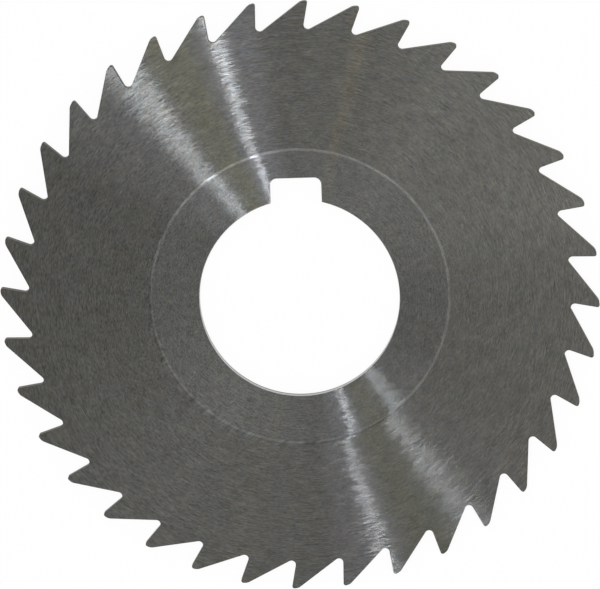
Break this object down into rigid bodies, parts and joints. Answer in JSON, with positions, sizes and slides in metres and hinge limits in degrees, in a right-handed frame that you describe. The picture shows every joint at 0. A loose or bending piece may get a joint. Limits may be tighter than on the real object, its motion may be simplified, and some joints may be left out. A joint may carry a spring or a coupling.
{
  "type": "slitting saw",
  "caption": "Thin toothed steel disc that turns on a keyed arbor to cut narrow slots, with flat hub faces and hollow-ground sides that clear the cut behind the raked teeth.",
  "frame": {"origin": "centre of the bore at the lower hub face", "axes": "+Z along the bore axis, out of the upper hub face; +Y through the middle of the keyway; seen from +Z the teeth cut clockwise"},
  "size_m": [0.076, 0.076, 0.0012],
  "materials": {
    "ground_steel": "satin, ground in fine circles around the bore"
  },
  "bodies": {
    "root": {"saw_blade": "ground_steel"}
  },
  "joints": []
}
